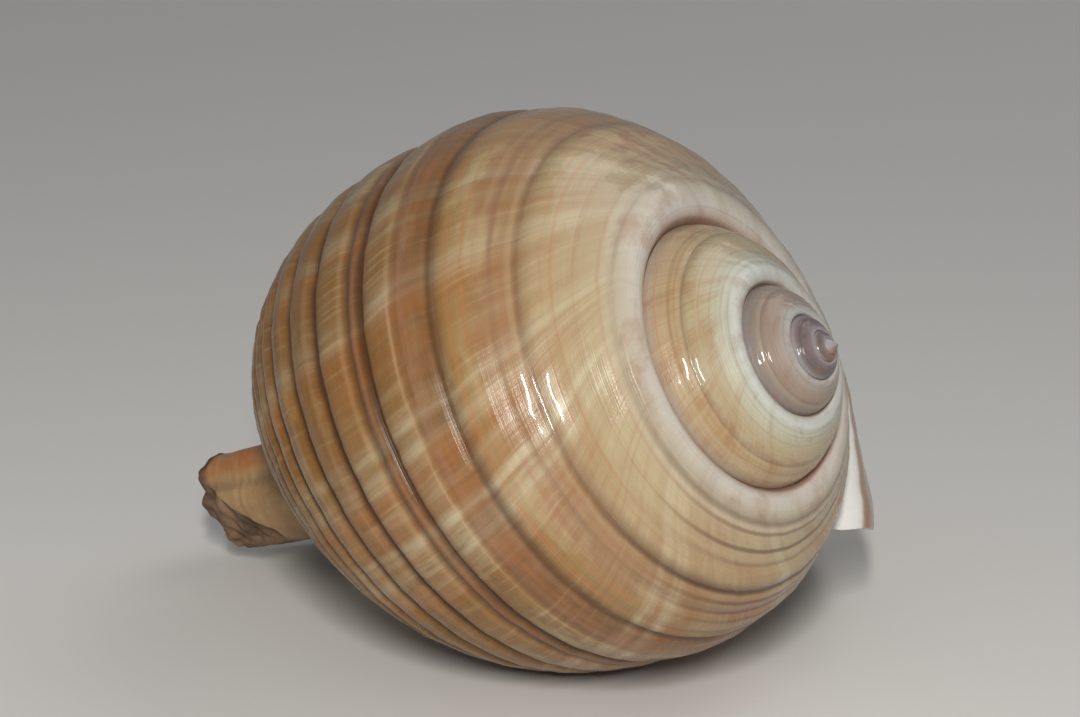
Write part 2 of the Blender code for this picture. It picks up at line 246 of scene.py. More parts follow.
class Curve:
    """A natural cubic spline through points, its parameter being the distance from point to point."""

    def __init__(self, points, start=0.0):
        self.points = np.array(points, dtype=float)
        lengths = np.linalg.norm(np.diff(self.points, axis=0), axis=1)
        self.at = start + np.concatenate([[0.0], np.cumsum(lengths)])
        count = len(self.points)
        matrix = np.eye(count)
        right = np.zeros_like(self.points)
        for i in range(1, count - 1):
            before, after = lengths[i - 1], lengths[i]
            matrix[i, i - 1 : i + 2] = before, 2.0 * (before + after), after
            slope_after = (self.points[i + 1] - self.points[i]) / after
            slope_before = (self.points[i] - self.points[i - 1]) / before
            right[i] = 6.0 * (slope_after - slope_before)
        self.bend = np.linalg.solve(matrix, right)

    def __call__(self, t):
        t = np.asarray(t, dtype=float)
        i = np.clip(np.searchsorted(self.at, t) - 1, 0, len(self.at) - 2)
        length = self.at[i + 1] - self.at[i]
        a = ((self.at[i + 1] - t) / length)[..., None]
        b = 1.0 - a
        squared = (length**2)[..., None] / 6.0
        curved = (a**3 - a) * self.bend[i] + (b**3 - b) * self.bend[i + 1]
        return a * self.points[i] + b * self.points[i + 1] + squared * curved


def section_with_channel():
    """The section line, led down into the channel of the suture until it meets the turn before it."""
    foot = np.array(SECTION[0]) + FOOT_STEP
    for _ in range(FOOT_ROUNDS):
        drop = np.linalg.norm(np.array(SECTION[0]) - foot)
        curve = Curve([tuple(foot)] + SECTION, SECTION_START - drop)
        foot = curve(SUTURE_AT) / GROWTH_PER_TURN
    return curve


section = section_with_channel()
T_START = section.at[0]
T_END = section.at[-1]


def relief(angle, t):
    """Height over the section line: a bell-shaped dip at each groove and line, a low parabola on each rib.

    The grooves of the shoulder and the faint lines are deepest where the last whorl begins and fade from
    there as a bell, half as fast backwards. A broad bell flattens the shoulder. Past it the ribs are sunk by
    an even amount, between two smooth steps, so that their crowns stay inside the solid's box.
    """
    angle, t = np.broadcast_arrays(np.asarray(angle, dtype=float), np.asarray(t, dtype=float))
    after = growth(angle, t) - GROOVES_START
    starts = bell(np.minimum(after, 0.0) * 0.5 + np.maximum(after, 0.0), 0.0, START_REACH)
    height = np.zeros_like(t)
    for place, depth, _ in GROOVES:
        shown = GROOVE_SHOWS + GROOVE_STARTS * starts if place < SHOULDER_END else 1.0
        height -= depth * bell(t, place, GROOVE_HALF_WIDTH) * shown
    for place, depth in FAINT_LINES:
        height -= depth * bell(t, place, FAINT_HALF_WIDTH) * (LINE_SHOWS + LINE_STARTS * starts)
    height -= FLATTER_BY * bell(t, FLATTER_AT, FLATTER_WIDTH)
    for (low, _, _), (high, depth, _) in zip(GROOVES[1:], GROOVES[2:]):
        across = np.clip((t - low) / (high - low), 0.0, 1.0)
        height += RIB_CROWN * depth * 4.0 * across * (1.0 - across)
    height -= RIB_SUNK * smoothstep((t - SUNK_FROM) / SUNK_OVER) * smoothstep((SUNK_UNTIL - t) / SUNK_FADE)
    return height


def growth(angle, t):
    """Growth coordinate: the angle at which the growth line through a point leaves the suture."""
    places, leans = zip(*GROWTH_LEAN)
    return angle + np.interp(t, places, leans)


def sweep(angle, t):
    """A point of the sheet: the section line turned about the axis and scaled by the growth so far.

    Past angle 0 the growth along the axis is held back on the lower part, softly at first.
    """
    angle = np.asarray(angle, dtype=float)
    radius, along = np.moveaxis(section(t), -1, 0)
    past = np.maximum(angle, 0.0)
    held = past - HELD_SOFTLY * (1.0 - np.exp(-past / HELD_SOFTLY))
    held = smoothstep((t - HELD_FROM) / HELD_OVER) * held
    around = np.radians(angle)
    radius = radius * GROWTH_PER_TURN ** (angle / 360.0)
    along = along * GROWTH_PER_TURN ** ((angle - held) / 360.0)
    return np.stack([-along, radius * np.sin(around), radius * np.cos(around)], -1)


def outward(angle, t):
    """Unit normals of the sheet, from the differences of the swept point both ways."""
    by_angle = sweep(angle + 0.2, t) - sweep(angle - 0.2, t)
    by_t = sweep(angle, t + 0.05) - sweep(angle, t - 0.05)
    normal = np.cross(by_angle, by_t)
    return normal / np.linalg.norm(normal, axis=-1, keepdims=True)


def lip_flare(angle, t, lip):
    """How far the last stretch before the lip turns outwards: a smooth step squared, faded at both ends."""
    near = smoothstep((angle - lip + FLARE_REACH) / FLARE_REACH)
    return LIP_FLARE * near**2 * smoothstep(t / FLARE_GROWS) * smoothstep((T_END - t) / FLARE_FADES)


def swell(angle, t):
    """Low uneven swells along the growth lines: sines of the growth coordinate, out of step."""
    g = np.radians(growth(angle, t))
    return sum(height * np.sin(waves * g + shift + drift * t) for height, waves, shift, drift in SWELLS)


def sheet(angle, t, lip, inwards=0.0):
    """The outside of the sheet, or with inwards the face that lies so deep under it."""
    angle, t, lip = np.broadcast_arrays(angle, t, lip)
    scale = GROWTH_PER_TURN ** (angle / 360.0)
    share = 1.0 if inwards == 0.0 else INNER_RELIEF
    fade = smoothstep((t - SECTION_START) / RELIEF_FADE)
    height = share * fade * (relief(angle, t) + swell(angle, t)) * scale + lip_flare(angle, t, lip) - inwards
    return sweep(angle, t) + height[..., None] * outward(angle, t)


def pose(points):
    """The shell's own frame tilted and rolled to lie on the table, then moved to the record's origin."""
    tilt, roll = math.radians(AXIS_TILT), math.radians(AXIS_ROLL)
    rows = np.array(
        [
            (math.cos(tilt), -math.sin(tilt) * math.sin(roll), -math.sin(tilt) * math.cos(roll)),
            (0.0, math.cos(roll), -math.sin(roll)),
            (math.sin(tilt), math.cos(tilt) * math.sin(roll), math.cos(tilt) * math.cos(roll)),
        ]
    )
    posed = points @ rows.T - PLACE
    posed[..., 2] = np.maximum(posed[..., 2], 0.0)
    return posed


def lip_line(t, inwards=0.0):
    """Angle of the lip's margin: free near the suture, and cut level with the table from there on.

    Halving the interval many times finds the angle where the sheet comes down to the table.
    """
    places, leans = zip(*LIP_LEAN)
    free = LIP_ANGLE - np.interp(t, places, leans)
    low, high = np.full_like(free, LEVEL_LOOKED_FROM), free.copy()

    def above(angle):
        return pose(sheet(angle, t, angle, inwards))[..., 2] > 0.0

    reaches = ~above(high) & (t < LEVEL_UNTIL)
    for _ in range(HALVINGS):
        middle = 0.5 * (low + high)
        up = above(middle)
        low, high = np.where(up, middle, low), np.where(up, high, middle)
    return np.where(reaches, low, free)


def leaned(columns, lip):
    """Angles of a grid: even columns, pulled to the lip's own line over the last part of the whorl."""
    reach = smoothstep((columns - LIP_ANGLE + LEAN_REACH) / LEAN_REACH)
    return columns[:, None] + (lip - LIP_ANGLE)[None, :] * reach[:, None]


class Skin:
    """Points and faces of one closed surface, with a growth coordinate, a place t and a finish per face."""

    def __init__(self):
        self.points, self.loops, self.sizes, self.maps, self.finish = [], [], [], [], []
        self.count = 0

    def add(self, points):
        """Adds an array of points and gives their numbers in the same layout."""
        flat = np.asarray(points, dtype=float).reshape(-1, 3)
        first = self.count
        self.points.append(flat)
        self.count += len(flat)
        return first + np.arange(len(flat)).reshape(np.shape(points)[:-1])

    def faces(self, numbers, angle, t, finish=0):
        """Faces from an array of corner numbers, one face in each row."""
        angle, t = np.broadcast_to(angle, numbers.shape), np.broadcast_to(t, numbers.shape)
        self.loops.append(numbers.ravel())
        self.sizes.append(np.full(len(numbers), numbers.shape[1]))
        self.maps.append(np.stack([growth(angle, t).ravel() / 360.0, t.ravel() / 100.0], -1))
        self.finish.append(np.full(len(numbers), finish))

    def patch(self, grid, angle, t, finish=0):
        """Quads between the neighbours of a grid of numbers."""
        angle, t = np.broadcast_to(angle, grid.shape), np.broadcast_to(t, grid.shape)

        def corners(values):
            around = (values[:-1, :-1], values[1:, :-1], values[1:, 1:], values[:-1, 1:])
            return np.stack([part.ravel() for part in around], 1)

        self.faces(corners(grid), corners(angle), corners(t), finish)

    def build(self, name, finishes):
        """The object, posed and in metres, with its faces turned outwards."""
        mesh = bpy.data.meshes.new(name)
        points = pose(np.concatenate(self.points)) * MM
        loops, sizes = np.concatenate(self.loops), np.concatenate(self.sizes)
        mesh.vertices.add(len(points))
        mesh.vertices.foreach_set("co", points.ravel())
        mesh.loops.add(len(loops))
        mesh.loops.foreach_set("vertex_index", loops)
        mesh.polygons.add(len(sizes))
        mesh.polygons.foreach_set("loop_start", np.concatenate([[0], np.cumsum(sizes)[:-1]]))
        mesh.polygons.foreach_set("loop_total", sizes)
        mesh.update(calc_edges=True)
        mesh.polygons.foreach_set("material_index", np.concatenate(self.finish))
        mesh.uv_layers.new(name="growth").data.foreach_set("uv", np.concatenate(self.maps).ravel())
        for finish in finishes:
            mesh.materials.append(finish)
        work = bmesh.new()
        work.from_mesh(mesh)
        bmesh.ops.recalc_face_normals(work, faces=work.faces)
        work.to_mesh(mesh)
        work.free()
        mesh.shade_smooth()
        piece = bpy.data.objects.new(name, mesh)
        bpy.context.collection.objects.link(piece)
        return piece


def whorls(finishes):
    """The sheet as one closed surface: spire, last whorl, lip, lumen, shared wall and pillar.

    Each part is a grid of sheet(angle, t). The spire's last row is the last whorl's first row one turn later.
    Faces that close an end have no place t of their own, and take the one that gives them their colour.
    """
    apex_t, deep_t = 2.0, 60.0
    skin = Skin()
    rows = np.concatenate([[T_START], np.linspace(SECTION_START, SUTURE_AT, SPIRE_ROWS)])
    rows = np.concatenate([rows, np.linspace(SUTURE_AT, T_END, BODY_ROWS + 1)[1:]])
    last_spire = SPIRE_ROWS
    wall_row = int(np.argmin(np.abs(rows - SHARED_FROM)))
    first_inside = int(np.argmin(np.abs(rows - INSIDE_FROM)))
    lip = lip_line(rows)
    start = LIP_ANGLE - 360.0
    spire_columns = start - 360.0 * SPIRE_TURNS + STEP * np.arange(COLUMNS * SPIRE_TURNS + 1)
    last_columns = start + STEP * np.arange(COLUMNS + 1)

    spire_grid = np.full((len(spire_columns), last_spire + 1), -1)
    spire_rows = rows[None, 1 : last_spire + 1]
    spire_grid[:, 1:] = skin.add(sheet(spire_columns[:, None], spire_rows, LIP_ANGLE))
    spire_grid[COLUMNS:, 0] = spire_grid[:-COLUMNS, -1]
    spire_grid[:COLUMNS, 0] = skin.add(sheet(spire_columns[:COLUMNS], rows[0], LIP_ANGLE))
    last_grid = np.full((COLUMNS + 1, len(rows)), -1)
    last_grid[0, : last_spire + 1] = spire_grid[-1]
    last_grid[1:, 0] = spire_grid[-COLUMNS:, -1]
    angles = leaned(last_columns, lip)
    last_grid[1:, 1:] = skin.add(sheet(angles, rows[None], lip[None])[1:, 1:])
    last_grid[0, last_spire + 1 :] = skin.add(sheet(start, rows[last_spire + 1 :], LIP_ANGLE))
    skin.patch(spire_grid, spire_columns[:, None], rows[None, : last_spire + 1])
    skin.patch(last_grid, angles, rows[None])

    # Apex: a fan over the first turn's inner edge.
    apex = skin.add(np.array([APEX_RISE, 0.0, 0.0]))
    edge = spire_grid[: COLUMNS + 1, 0]
    fan = np.stack([edge[:-1], edge[1:], np.broadcast_to(apex, COLUMNS)], 1)
    skin.faces(fan, spire_columns[:COLUMNS, None], apex_t)
    skin.faces(np.append(spire_grid[0, ::-1], apex)[None], spire_columns[0], apex_t)

    # Inside: the lumen's outer face, and the wall that it shares with the turn before it.
    deep = int(round(0.5 * LUMEN_TURNS * COLUMNS))
    deep_columns = LIP_ANGLE - 2.0 * STEP * np.arange(deep + 1)
    inner_rows = rows[first_inside:]
    inner_lip = lip_line(inner_rows, WALL)
    inner_angles = leaned(deep_columns, inner_lip)
    inner = skin.add(sheet(inner_angles, inner_rows[None], inner_lip[None], WALL))
    shared = np.full((deep + 1, len(rows) - wall_row), -1)
    shared[0] = last_grid[0, wall_row:]
    shared[1:] = skin.add(sheet(deep_columns[1:, None] - 360.0, rows[None, wall_row:], LIP_ANGLE))
    skin.patch(inner, inner_angles, inner_rows[None], 1)
    skin.patch(shared, deep_columns[:, None] - 360.0, rows[None, wall_row:], 2)
    skin.patch(np.stack([shared[:, 0], inner[:, 0]], 1), deep_columns[:, None], INSIDE_FROM, 1)
    skin.patch(np.stack([inner[:, -1], shared[:, -1]], 1), deep_columns[:, None], T_END, 1)
    loop = np.concatenate([inner[-1], shared[-1, ::-1]])
    everything = np.concatenate(skin.points)
    middle = skin.add(everything[loop].mean(axis=0))
    skin.faces(np.stack([loop, np.roll(loop, -1), np.broadcast_to(middle, len(loop))], 1), 0.0, deep_t, 1)

    # Lip: a rounded strip from the outside to the inside.
    outer_edge, inner_edge = last_grid[-1], inner[0]
    strip = np.stack([outer_edge[first_inside:], inner_edge], 0)
    skin.patch(strip, inner_lip[None], inner_rows[None], 1)
    step_in = last_grid[0, last_spire + 1 : wall_row + 1]
    corner = np.concatenate([outer_edge[first_inside::-1], step_in, inner_edge[:1]])
    skin.faces(corner[None], lip[0], apex_t, 1)

    # Pillar: the end of the last whorl's sheet closed to the axis.
    end = np.append(last_grid[:, -1], inner_edge[-1])
    tip = skin.add(np.array([-PILLAR_END, 0.0, 0.0]))
    skin.faces(np.stack([end, np.roll(end, -1), np.broadcast_to(tip, len(end))], 1), 0.0, T_END, 2)
    return skin.build("ribbed_whorls", finishes)


def neck_axis(along):
    """Rise of the neck's middle and its radius at a distance from the apex."""
    curve = Curve(NECK)
    t = np.interp(along, [point[0] for point in NECK], curve.at)
    return np.moveaxis(curve(t), -1, 0)[1:]


def neck(finishes):
    """The neck: rings about a line that bends to the back, closed by rings that shrink to its end's middle.

    The radius is a spline of the distance from the apex, plus folds, which are bells of the angle about the
    line, plus lumps near the end, which are sines of that angle. Below, past a slanting edge, it is cut back
    and knobbly, as if broken off. The end itself is rounded at its rim, hollow and wavy.
    """
    skin = Skin()
    along = np.linspace(NECK[0][0], NECK_END, NECK_RINGS)
    degrees = np.arange(NECK_SIDES) * 360.0 / NECK_SIDES - 180.0
    around = np.radians(degrees)
    rise, radius = neck_axis(along)
    folds = sum(height * bell(degrees, angle, width) for height, angle, width in NECK_FOLDS)
    folds = folds * smoothstep((along - NECK_RIDGE_FROM) / NECK_RIDGE_OVER)[:, None]
    near_end = smoothstep((along - NECK_ROUGH_FROM) / (NECK_END - NECK_ROUGH_FROM))[:, None]
    lumps = near_end * ripples(around, NECK_LUMPS)
    rings = RINGS * np.sin(along * 2.1 + 2.0 * np.sin(along * 0.7))[:, None]
    rings = rings * smoothstep((along - RINGS_FROM) / RINGS_OVER)[:, None]

    edge = NECK_EDGE_AT - NECK_EDGE_SLANT * np.clip(NECK_EDGE_FROM - degrees, 0.0, NECK_EDGE_OVER)
    below = smoothstep((-45.0 - degrees) / 12.0) * smoothstep((degrees + 150.0) / 15.0)
    broken = smoothstep((along[:, None] - edge) / BROKEN_OVER) * below
    knobs = sum(h * np.sin(along[:, None] * per_mm + waves * around) for h, per_mm, waves in BROKEN_KNOBS)
    rounded = ROUNDED_BY * smoothstep((along - NECK_END + ROUNDED_OVER) / ROUNDED_OVER)[:, None] ** 2
    girth = radius[:, None] + folds + lumps + rings - rounded - broken * (BROKEN_BY + knobs)
    reach = along[:, None] - near_end**2 * ripples(around, NECK_EDGE_WAVES, 1.0)

    def ring(reach, girth, rise):
        return np.stack([-reach, girth * np.sin(around), girth * np.cos(around) + rise], -1)

    grid = skin.add(ring(reach, girth, rise[:, None]))
    shrink = np.linspace(0.9, 0.1, 9)[:, None]
    hollow = HOLLOW_END * (1.0 - shrink**2)
    cap = skin.add(ring(reach[-1] - hollow, girth[-1] * shrink, rise[-1] + 0.0 * shrink))
    grid = np.concatenate([grid, cap], 0)
    places = np.concatenate([along, np.full(len(cap), NECK_END)])
    grid = np.concatenate([grid, grid[:, :1]], 1)
    turn = np.append(degrees, 180.0)
    skin.patch(grid, turn[None], places[:, None])
    first = skin.add(np.array([-along[0] + 1.0, 0.0, rise[0]]))
    last = skin.add(np.array([-NECK_END + 2.2, 0.0, rise[-1]]))
    for edge, middle, t in ((grid[0], first, along[0]), (grid[-1], last, NECK_END)):
        fan = np.stack([edge[:-1], edge[1:], np.broadcast_to(middle, NECK_SIDES)], 1)
        skin.faces(fan, turn[:-1, None], t)
    return skin.build("neck", finishes)


def canal(finishes):
    """The canal's hollow as a cutter: a round-backed trough, open below, carried along the neck."""
    skin = Skin()
    along = np.linspace(CANAL_FROM, CANAL_TO, CANAL_RINGS)
    rise, _ = neck_axis(np.minimum(along, NECK_END))
    back = math.radians(CANAL_OPENS_AT + 180.0)
    arc = back + np.radians(np.linspace(-90.0, 90.0, 33))
    across = np.stack([np.sin(arc), np.cos(arc)], -1) * CANAL_RADIUS
    opening = np.array([-math.sin(back), -math.cos(back)]) * CANAL_DEPTH
    outline = np.concatenate([across, across[-1:] + opening, across[:1] + opening])
    side, up = outline.T
    up = up[None] + rise[:, None]
    reach = np.broadcast_to(-along[:, None], up.shape)
    grid = skin.add(np.stack([reach, np.broadcast_to(side[None], up.shape), up], -1))
    skin.patch(np.concatenate([grid, grid[:, :1]], 1), 0.0, CANAL_T)
    skin.faces(np.stack([grid[0], grid[-1]]), 0.0, CANAL_T)
    return skin.build("canal", finishes)


def cut(piece, cutter):
    """Takes the cutter's shape out of a piece, with a Boolean that is applied."""
    modifier = piece.modifiers.new("canal", "BOOLEAN")
    modifier.operation = "DIFFERENCE"
    modifier.solver = "EXACT"
    modifier.material_mode = "TRANSFER"
    modifier.object = cutter
    bpy.context.view_layer.update()
    mesh = bpy.data.meshes.new_from_object(piece.evaluated_get(bpy.context.evaluated_depsgraph_get()))
    piece.modifiers.clear()
    piece.data = mesh
    mesh.set_sharp_from_angle(angle=math.radians(SHARP_EDGE))


def tone(red, green, blue):
    """A colour given in display values from 0 to 255, as the shader's linear values."""
    part = np.array([red, green, blue]) / 255.0
    linear = np.where(part <= 0.04045, part / 12.92, ((part + 0.055) / 1.055) ** 2.4)
    return tuple(linear) + (1.0,)


class Finish:
    """One material and short names for its nodes."""

    def __init__(self, name):
        self.material = bpy.data.materials.new(name)
        self.material.use_nodes = True
        self.tree = self.material.node_tree
        self.shader = self.tree.nodes["Principled BSDF"]

    def put(self, socket, value):
        """Links a node's output to a socket, or sets the socket's own value."""
        if isinstance(value, bpy.types.NodeSocket):
            self.tree.links.new(value, socket)
        else:
            socket.default_value = value

    def set(self, **values):
        """Gives the shader its inputs, with _ for the spaces in their names."""
        for name, value in values.items():
            self.put(self.shader.inputs[name.replace("_", " ")], value)

    def node(self, kind, *values, **named):
        """A node of this kind, with its inputs given in order or by name."""
        made = self.tree.nodes.new("ShaderNode" + kind)
        for socket, value in zip(made.inputs, values):
            self.put(socket, value)
        for name, value in named.items():
            self.put(made.inputs[name], value)
        return made

    def maths(self, operation, *values):
        made = self.node("Math", *values)
        made.operation = operation
        return made.outputs[0]

    def times(self, product, *factors):
        for factor in factors:
            product = self.maths("MULTIPLY", product, factor)
        return product

    def plus(self, a, b):
        return self.maths("ADD", a, b)

    def minus(self, a, b):
        return self.maths("SUBTRACT", a, b)

    def off(self, value, middle):
        """How far a value is from the middle, on either side."""
        return self.maths("ABSOLUTE", self.minus(value, middle))

    def span(self, value, low, high, to_low=0.0, to_high=1.0, smooth=True):
        """value mapped from low..high to to_low..to_high, and held outside."""
        made = self.node("MapRange", value, low, high, to_low, to_high)
        made.interpolation_type = "SMOOTHSTEP" if smooth else "LINEAR"
        return made.outputs[0]

    def ramp(self, value, stops, interpolation="LINEAR"):
        """The colours of the stops, which are (place from 0 to 1, colour), by value."""
        made = self.node("ValToRGB", value)
        elements = made.color_ramp.elements
        made.color_ramp.interpolation = interpolation
        while len(elements) < len(stops):
            elements.new(1.0)
        for element, (place, colour) in zip(elements, stops):
            element.position = place
            element.color = colour
        return made.outputs[0]

    def mix(self, share, a, b):
        """a where the share is 0, b where it is 1. The Mix node has its colours at sockets 6 and 7."""
        made = self.node("Mix", share)
        made.data_type = "RGBA"
        self.put(made.inputs[6], a)
        self.put(made.inputs[7], b)
        return made.outputs[2]

    def noise(self, vector, scale=1.0, detail=3.0, rough=0.5):
        return self.node("TexNoise", Vector=vector, Scale=scale, Detail=detail, Roughness=rough).outputs[0]

    def position(self):
        return self.node("TexCoord").outputs["Object"]

    def growth_map(self):
        """Growth coordinate in turns, and place t in millimetres, from the piece's own map."""
        made = self.node("UVMap")
        made.uv_map = "growth"
        split = self.node("SeparateXYZ", made.outputs[0])
        return split.outputs[0], self.times(split.outputs[1], 100.0)

    def grain(self, name, turns, t):
        """The noise of this name in GRAINS, drawn out along the growth lines."""
        per_turn, per_mm, offset, detail, rough = GRAINS[name]
        place = self.node("CombineXYZ", self.times(turns, per_turn), self.times(t, per_mm), offset)
        return self.noise(place.outputs[0], 1.0, detail, rough)

    def bump(self, height, distance, strength=0.5):
        return self.node("Bump", Height=height, Distance=distance, Strength=strength).outputs[0]


# Noises drawn out along the growth lines, as (grains in a turn, grains in a millimetre of t, offset, detail,
# roughness). wander and shiver bend the streaks and the spiral lines; by_rib, broken and worn thin them out.
GRAINS = {
    "wander": (9.0, 0.05, 3.0, 3.0, 0.5),
    "shiver": (40.0, 0.06, 29.0, 3.0, 0.6),
    "by_rib": (2.0, 0.16, 41.0, 1.0, 0.5),
    "broken": (150.0, 0.04, 17.0, 4.0, 0.6),
    "worn": (12.0, 0.5, 43.0, 3.0, 0.5),
    "patches": (16.0, 0.1, 51.0, 4.0, 0.6),
    "broad": (34.0, 0.012, 7.0, 4.0, 0.6),
    "pale": (40.0, 0.012, 11.0, 4.0, 0.6),
    "threads": (260.0, 0.025, 23.0, 3.0, 0.6),
    "flecks": (64.0, 0.3, 71.0, 4.0, 0.65),
    "fine": (1.2, 1.1, 37.0, 4.0, 0.65),
    "scored": (3.0, 2.6, 61.0, 3.0, 0.6),
    "lining": (20.0, 0.05, 5.0, 3.0, 0.5),
}

# Colours along the section line, as (t, colour), on the last whorl and on the earlier ones. The dark stops in
# the suture's channel, at t 0 to 1.0 and at 40.5, are partly the suture's own brown line and partly painted
# shade of the channel.
LAST_WHORL = [
    (0, (140, 106, 86)),
    (1.0, (150, 118, 100)),
    (1.9, (192, 174, 162)),
    (3.6, (206, 199, 190)),
    (7, (196, 185, 165)),
    (12, (182, 163, 130)),
    (20, (174, 150, 114)),
    (24.5, (166, 141, 105)),
    (26.5, (146, 115, 79)),
    (29.5, (156, 123, 88)),
    (33, (146, 111, 76)),
    (36.5, (156, 123, 77)),
    (40, (142, 106, 57)),
    (43, (114, 80, 48)),
    (49, (119, 84, 50)),
    (50.5, (148, 109, 62)),
    (52, (132, 96, 43)),
    (57, (122, 87, 38)),
    (60, (103, 69, 35)),
    (63, (128, 91, 39)),
    (67, (132, 96, 43)),
    (71, (108, 74, 32)),
    (76, (124, 89, 37)),
    (86, (116, 81, 34)),
    (100, (114, 80, 32)),
    (125, (122, 87, 39)),
    (147, (152, 120, 72)),
]
PENULTIMATE = [
    (0, (120, 96, 82)),
    (0.8, (150, 130, 116)),
    (2.0, (192, 188, 180)),
    (6, (206, 209, 202)),
    (10, (192, 191, 172)),
    (14, (184, 180, 156)),
    (18, (180, 164, 132)),
    (24, (173, 158, 126)),
    (30, (176, 152, 114)),
    (36, (179, 158, 130)),
    (38.2, (182, 171, 158)),
    (39.8, (168, 153, 140)),
    (40.5, (110, 84, 68)),
]
EARLIER = [
    (0, (88, 74, 66)),
    (0.8, (150, 142, 136)),
    (2.5, (190, 188, 184)),
    (6, (174, 170, 164)),
    (9, (164, 156, 146)),
    (14, (158, 142, 130)),
    (22, (149, 131, 117)),
    (29, (152, 139, 124)),
    (33, (130, 124, 117)),
    (38, (136, 136, 136)),
    (39.8, (148, 142, 136)),
    (40.5, (70, 58, 52)),
]
FIRST_TURNS = [
    (0, (70, 60, 58)),
    (0.8, (150, 146, 148)),
    (3, (160, 156, 160)),
    (8, (126, 116, 118)),
    (16, (106, 94, 95)),
    (26, (103, 94, 97)),
    (31, (118, 112, 115)),
    (36, (148, 148, 152)),
    (39, (160, 160, 162)),
    (40.5, (80, 70, 68)),
]
TIP = (138, 100, 80)

# The section line's length in the last whorl's ramps, and the turns between which each older ramp takes over.
T_PAINTED = 147.0
OLDER_WHORLS = [(PENULTIMATE, -0.66, -0.86), (EARLIER, -1.72, -1.9), (FIRST_TURNS, -2.7, -2.9)]
TIP_TURNS = (-4.15, -4.4)

# Patches, broad shades, growth streaks and threads over that ground. The streaks wander so far, in turns.
WARM_PATCH, PALE_PATCH = (158, 110, 74), (192, 178, 138)
BROAD_WARM, BROAD_PALE = (150, 95, 36), (196, 182, 136)
ORANGE_STREAK, CREAM_STREAK = (152, 88, 30), (212, 204, 172)
DARK_THREAD, LIGHT_THREAD = (140, 86, 44), (208, 192, 150)
STREAKS_WANDER = 0.006

# Grooves: colour, the core's inner and outer half width and strength, and the shade before it, from and to so
# far ahead and how strong. That shade is partly the rib's own brown and partly painted shade of the rib's
# slope down into the groove, which faces away from the light. LINES_WANDER is how far they wander, in
# millimetres.
BROWN = (72, 40, 18)
GROOVE_CORE, GROOVE_BROWN = (0.15, 1.3), 0.92
SHADE_FROM, SHADE_TO, SHADE_BROWN = 3.6, 0.2, 0.62
LINES_WANDER = 0.5

# Fine lines, flecks, the margin beside the lip, the inside and the neck.
FINE_LINE, FLECK = (136, 92, 58), (146, 102, 80)
LIP_WHITE, LIP_BROWN = (236, 233, 228), (150, 104, 74)
LINING_WHITE, LINING_CREAM = (240, 234, 224), (228, 214, 196)
NECK_BEIGE, NECK_TAN, NECK_RING = (176, 144, 102), (156, 122, 82), (128, 92, 60)
NECK_RIDGE, NECK_FOLD = (166, 100, 48), (88, 62, 44)
END_BROWN, END_DARK = (118, 90, 68), (66, 50, 42)

# Thin spiral stripes, as (place t, half width, amount, colour). The pale ones from 73.6 on lie just past a
# groove,
# where the rib rises towards the light: they are partly paler lines of the shell and partly painted light.
ROSE, ORANGE, MAUVE, PALE = (168, 118, 90), (180, 112, 62), (134, 100, 82), (198, 168, 134)
STRIPES = [
    (8.4, 0.5, 0.25, MAUVE),
    (11.2, 0.45, 0.3, ROSE),
    (15.4, 0.5, 0.35, ROSE),
    (17.2, 0.4, 0.3, PALE),
    (19.6, 0.45, 0.3, ORANGE),
    (21.4, 0.35, 0.22, ORANGE),
    (25.9, 0.5, 0.3, MAUVE),
    (27.4, 0.8, 0.25, PALE),
    (28.7, 0.45, 0.4, ROSE),
    (30.6, 0.7, 0.5, MAUVE),
    (32.2, 0.7, 0.2, PALE),
    (33.4, 0.45, 0.4, ROSE),
    (35.5, 0.4, 0.4, ORANGE),
    (38.6, 0.7, 0.3, ORANGE),
    (45.7, 0.8, 0.2, ORANGE),
    (47.6, 0.9, 0.35, ROSE),
    (50.6, 0.5, 0.4, PALE),
    (56.2, 0.8, 0.2, ORANGE),
    (59.9, 0.6, 0.5, ROSE),
    (63.2, 0.6, 0.15, PALE),
    # Pale stripes just past the grooves: partly the shell's paler lines, partly painted light on each rib's
    # lit slope.
    (73.6, 0.8, 0.15, PALE),
    (82.4, 0.8, 0.2, PALE),
    (89.6, 0.7, 0.22, PALE),
    (95.0, 0.7, 0.2, PALE),
    (99.5, 0.7, 0.15, PALE),
]

# Brown lines that only the first part of the last whorl has on its shoulder, as (t, how brown).
SHOULDER_LINES = [(11.2, 0.4), (15.4, 0.6), (18.6, 0.3), (28.8, 0.6), (31.9, 0.65), (34.2, 0.45), (38.4, 0.4)]

# Growth streaks, as (growth coordinate in degrees, amount of light cream from 0 to 1).
CREAM_STREAKS = [
    (-150, 0.1),
    (-146, 0.2),
    (-144, 0.9),
    (-141, 0.5),
    (-138, 0.1),
    (-105, 0.1),
    (-101.5, 0.9),
    (-99.5, 0.3),
    (-96, 0.85),
    (-93, 0.15),
    (-66, 0.1),
    (-62, 0.45),
    (-60, 0.35),
    (-57.5, 0.9),
    (-55.5, 0.5),
    (-51.5, 0.95),
    (-49.5, 0.2),
    (-45, 0.4),
    (-43, 0.1),
    (-37.5, 0.65),
    (-35, 0.3),
    (-32.5, 0.7),
    (-30, 0.1),
    (-14, 0.05),
    (-7.5, 0.6),
    (-5.5, 0.25),
    (-3, 0.1),
    (9.5, 0.05),
    (11, 0.45),
    (14, 0.3),
    (17, 0.05),
    (28, 0.2),
]
ORANGE_STREAKS = [
    (-150, 0.2),
    (-110, 0.2),
    (-98, 0.5),
    (-90, 0.15),
    (-70, 0.2),
    (-61, 0.8),
    (-59, 0.2),
    (-53, 0.2),
    (-47.5, 0.6),
    (-44, 0.7),
    (-41, 0.65),
    (-39, 0.1),
    (-25, 0.15),
    (-10, 0.5),
    (-8.5, 0.1),
    (6, 0.2),
    (9, 0.7),
    (10.5, 0.1),
    (22, 0.3),
    (30, 0.1),
]
